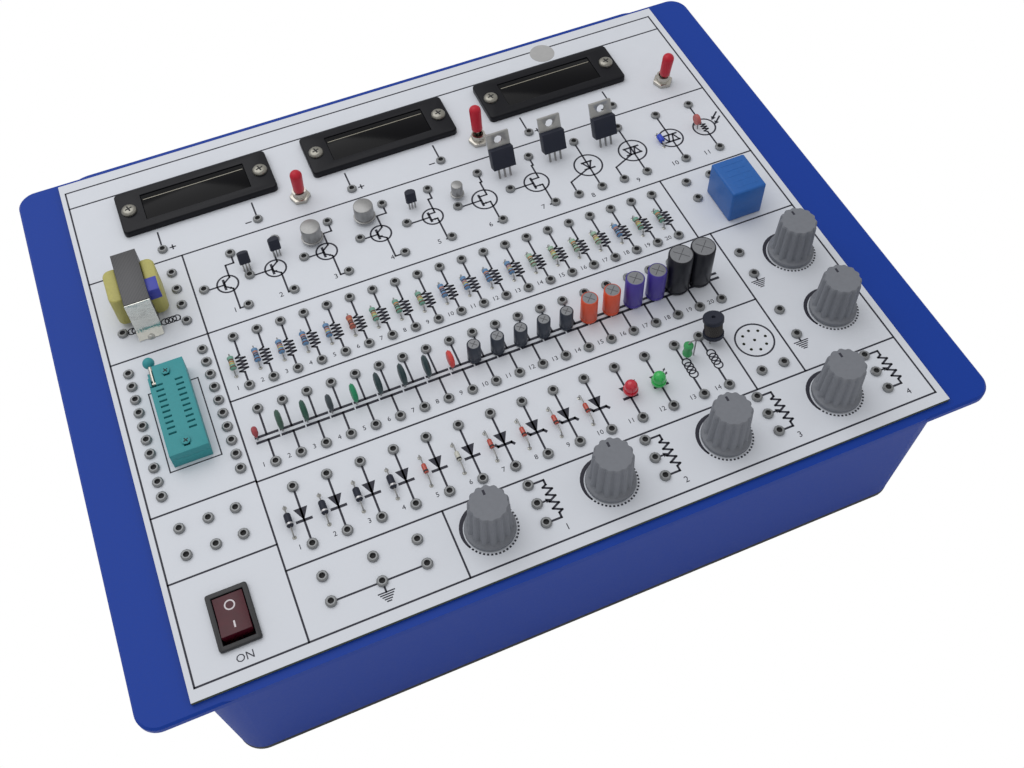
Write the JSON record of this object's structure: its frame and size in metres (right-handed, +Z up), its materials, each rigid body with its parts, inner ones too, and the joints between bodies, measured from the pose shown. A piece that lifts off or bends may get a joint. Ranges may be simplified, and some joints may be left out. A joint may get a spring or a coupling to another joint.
{
  "type": "analog component trainer",
  "caption": "Bench console with a printed panel of soldered parts, patch sockets, panel meters, knobs and a chip socket, for learning analogue circuits.",
  "frame": {"origin": "centre of the whole footprint on the surface that the rubber feet stand on", "axes": "+X to the right along the panel, +Y to the back, +Z up out of the panel"},
  "size_m": [0.327, 0.2614, 0.0919],
  "materials": {
    "cabinet_blue": "fine moulded grain",
    "base_sheet": "satin black powder coat",
    "screw_steel": "nickel plated",
    "foot_rubber": "matt black",
    "black_fitting": "moulded black",
    "panel_white": "satin white laminate with dark print",
    "socket_metal": "dull plated",
    "bezel_black": "satin black",
    "window_dark": "dark tinted acrylic",
    "bush_nickel": "nickel plated",
    "toggle_red": "soft red sleeve",
    "core_steel": "varnished laminations",
    "coil_tape": "yellow coil tape",
    "bracket_tin": "bright tinned strap",
    "resistor_body": "lacquered, with colour bands",
    "disc_body": "dipped",
    "can_sleeve": "shrink sleeve over aluminium",
    "moulded_black": "moulded epoxy",
    "can_metal": "bare metal can",
    "diac_blue": "blue glass",
    "photocell_face": "clear epoxy over an orange track",
    "lamp_lens": "diffused lens, one red and one green",
    "inductor_green": "green lacquer",
    "relay_blue": "blue case",
    "speaker_black": "black basket and cone",
    "zif_teal": "glass filled moulding",
    "rocker_black": "black frame",
    "rocker_red": "dark red translucent",
    "pot_metal": "plated",
    "knob_grey": "grey with a dark dot",
    "board_green": "green laminate",
    "smoothing_sleeve": "black sleeve",
    "sink_metal": "bare"
  },
  "bodies": {
    "console": {"cabinet_tub": "cabinet_blue", "base_cover": "base_sheet", "base_screws": "screw_steel", "meter_screws": "screw_steel", "rubber_feet": "foot_rubber", "mains_gland": "black_fitting", "fuse_holder": "black_fitting", "panel_board": "panel_white", "meter_sockets": "socket_metal", "transistor_sockets": "socket_metal", "resistor_sockets": "socket_metal", "capacitor_sockets": "socket_metal", "zif_side_sockets": "socket_metal", "diode_sockets": "socket_metal", "supply_sockets": "socket_metal", "meter_bezel_1": "bezel_black", "meter_bezel_2": "bezel_black", "meter_bezel_3": "bezel_black", "meter_windows": "window_dark", "toggle_bodies": "bush_nickel", "transformer_core": "core_steel", "mains_core": "core_steel", "transformer_bobbin": "coil_tape", "mains_winding": "coil_tape", "transformer_bracket": "bracket_tin", "resistors": "resistor_body", "disc_capacitors": "disc_body", "electrolytic_capacitors": "can_sleeve", "small_transistors": "moulded_black", "power_devices": "moulded_black", "diodes": "moulded_black", "drum_choke": "moulded_black", "can_transistors": "can_metal", "diac": "diac_blue", "photocell": "photocell_face", "indicator_lamps": "lamp_lens", "axial_inductor": "inductor_green", "relay": "relay_blue", "speaker": "speaker_black", "zif_base": "zif_teal", "rocker_frame": "rocker_black", "pot_bodies": "pot_metal", "supply_board": "board_green", "smoothing_capacitors": "smoothing_sleeve", "heat_sink": "sink_metal"},
    "toggle_1": {"toggle_lever_1": "bush_nickel", "toggle_cap_1": "toggle_red"},
    "toggle_2": {"toggle_lever_2": "bush_nickel", "toggle_cap_2": "toggle_red"},
    "toggle_3": {"toggle_lever_3": "bush_nickel", "toggle_cap_3": "toggle_red"},
    "rocker": {"rocker_paddle": "rocker_red"},
    "knob_1": {"knob_1": "knob_grey"},
    "knob_2": {"knob_2": "knob_grey"},
    "knob_3": {"knob_3": "knob_grey"},
    "knob_4": {"knob_4": "knob_grey"},
    "knob_5": {"knob_5": "knob_grey"},
    "knob_6": {"knob_6": "knob_grey"},
    "zif_lever": {"zif_lever": "zif_teal"},
    "zif_slider": {"zif_slider": "zif_teal"}
  },
  "joints": [
    {"name": "toggle_1_throw", "type": "hinge", "parent": "console", "child": "toggle_1", "pos_m": [-0.0485, 0.06919, 0.0707], "axis": [1, 0, 0], "range_deg": [-18, 0]},
    {"name": "toggle_2_throw", "type": "hinge", "parent": "console", "child": "toggle_2", "pos_m": [0.0348, 0.06919, 0.0707], "axis": [1, 0, 0], "range_deg": [0, 18]},
    {"name": "toggle_3_throw", "type": "hinge", "parent": "console", "child": "toggle_3", "pos_m": [0.1268, 0.06919, 0.0707], "axis": [1, 0, 0], "range_deg": [-18, 0]},
    {"name": "rocker_throw", "type": "hinge", "parent": "console", "child": "rocker", "pos_m": [-0.1246, -0.10451, 0.0696], "axis": [1, 0, 0], "range_deg": [0, 18]},
    {"name": "knob_1_turn", "type": "hinge", "parent": "console", "child": "knob_1", "pos_m": [-0.0326, -0.10821, 0.0711], "axis": [0, 0, 1], "range_deg": [-150, 150]},
    {"name": "knob_2_turn", "type": "hinge", "parent": "console", "child": "knob_2", "pos_m": [0.0142, -0.10821, 0.0711], "axis": [0, 0, 1], "range_deg": [-150, 150]},
    {"name": "knob_3_turn", "type": "hinge", "parent": "console", "child": "knob_3", "pos_m": [0.061, -0.10821, 0.0711], "axis": [0, 0, 1], "range_deg": [-150, 150]},
    {"name": "knob_4_turn", "type": "hinge", "parent": "console", "child": "knob_4", "pos_m": [0.1078, -0.10821, 0.0711], "axis": [0, 0, 1], "range_deg": [-150, 150]},
    {"name": "knob_5_turn", "type": "hinge", "parent": "console", "child": "knob_5", "pos_m": [0.1277, -0.04221, 0.0711], "axis": [0, 0, 1], "range_deg": [-150, 150]},
    {"name": "knob_6_turn", "type": "hinge", "parent": "console", "child": "knob_6", "pos_m": [0.1277, -0.07401, 0.0711], "axis": [0, 0, 1], "range_deg": [-150, 150]},
    {"name": "zif_lever_lift", "type": "hinge", "parent": "console", "child": "zif_lever", "pos_m": [-0.128, -0.00491, 0.07655], "axis": [1, 0, 0], "range_deg": [0, 90]},
    {"name": "zif_slide", "type": "slide", "parent": "console", "child": "zif_slider", "axis": [0, 1, 0], "range_m": [0, 0.0009]}
  ],
  "couplings": [
    {"joint": "zif_lever_lift", "follows": "zif_slide", "rad_per_m": 1745.3}
  ]
}
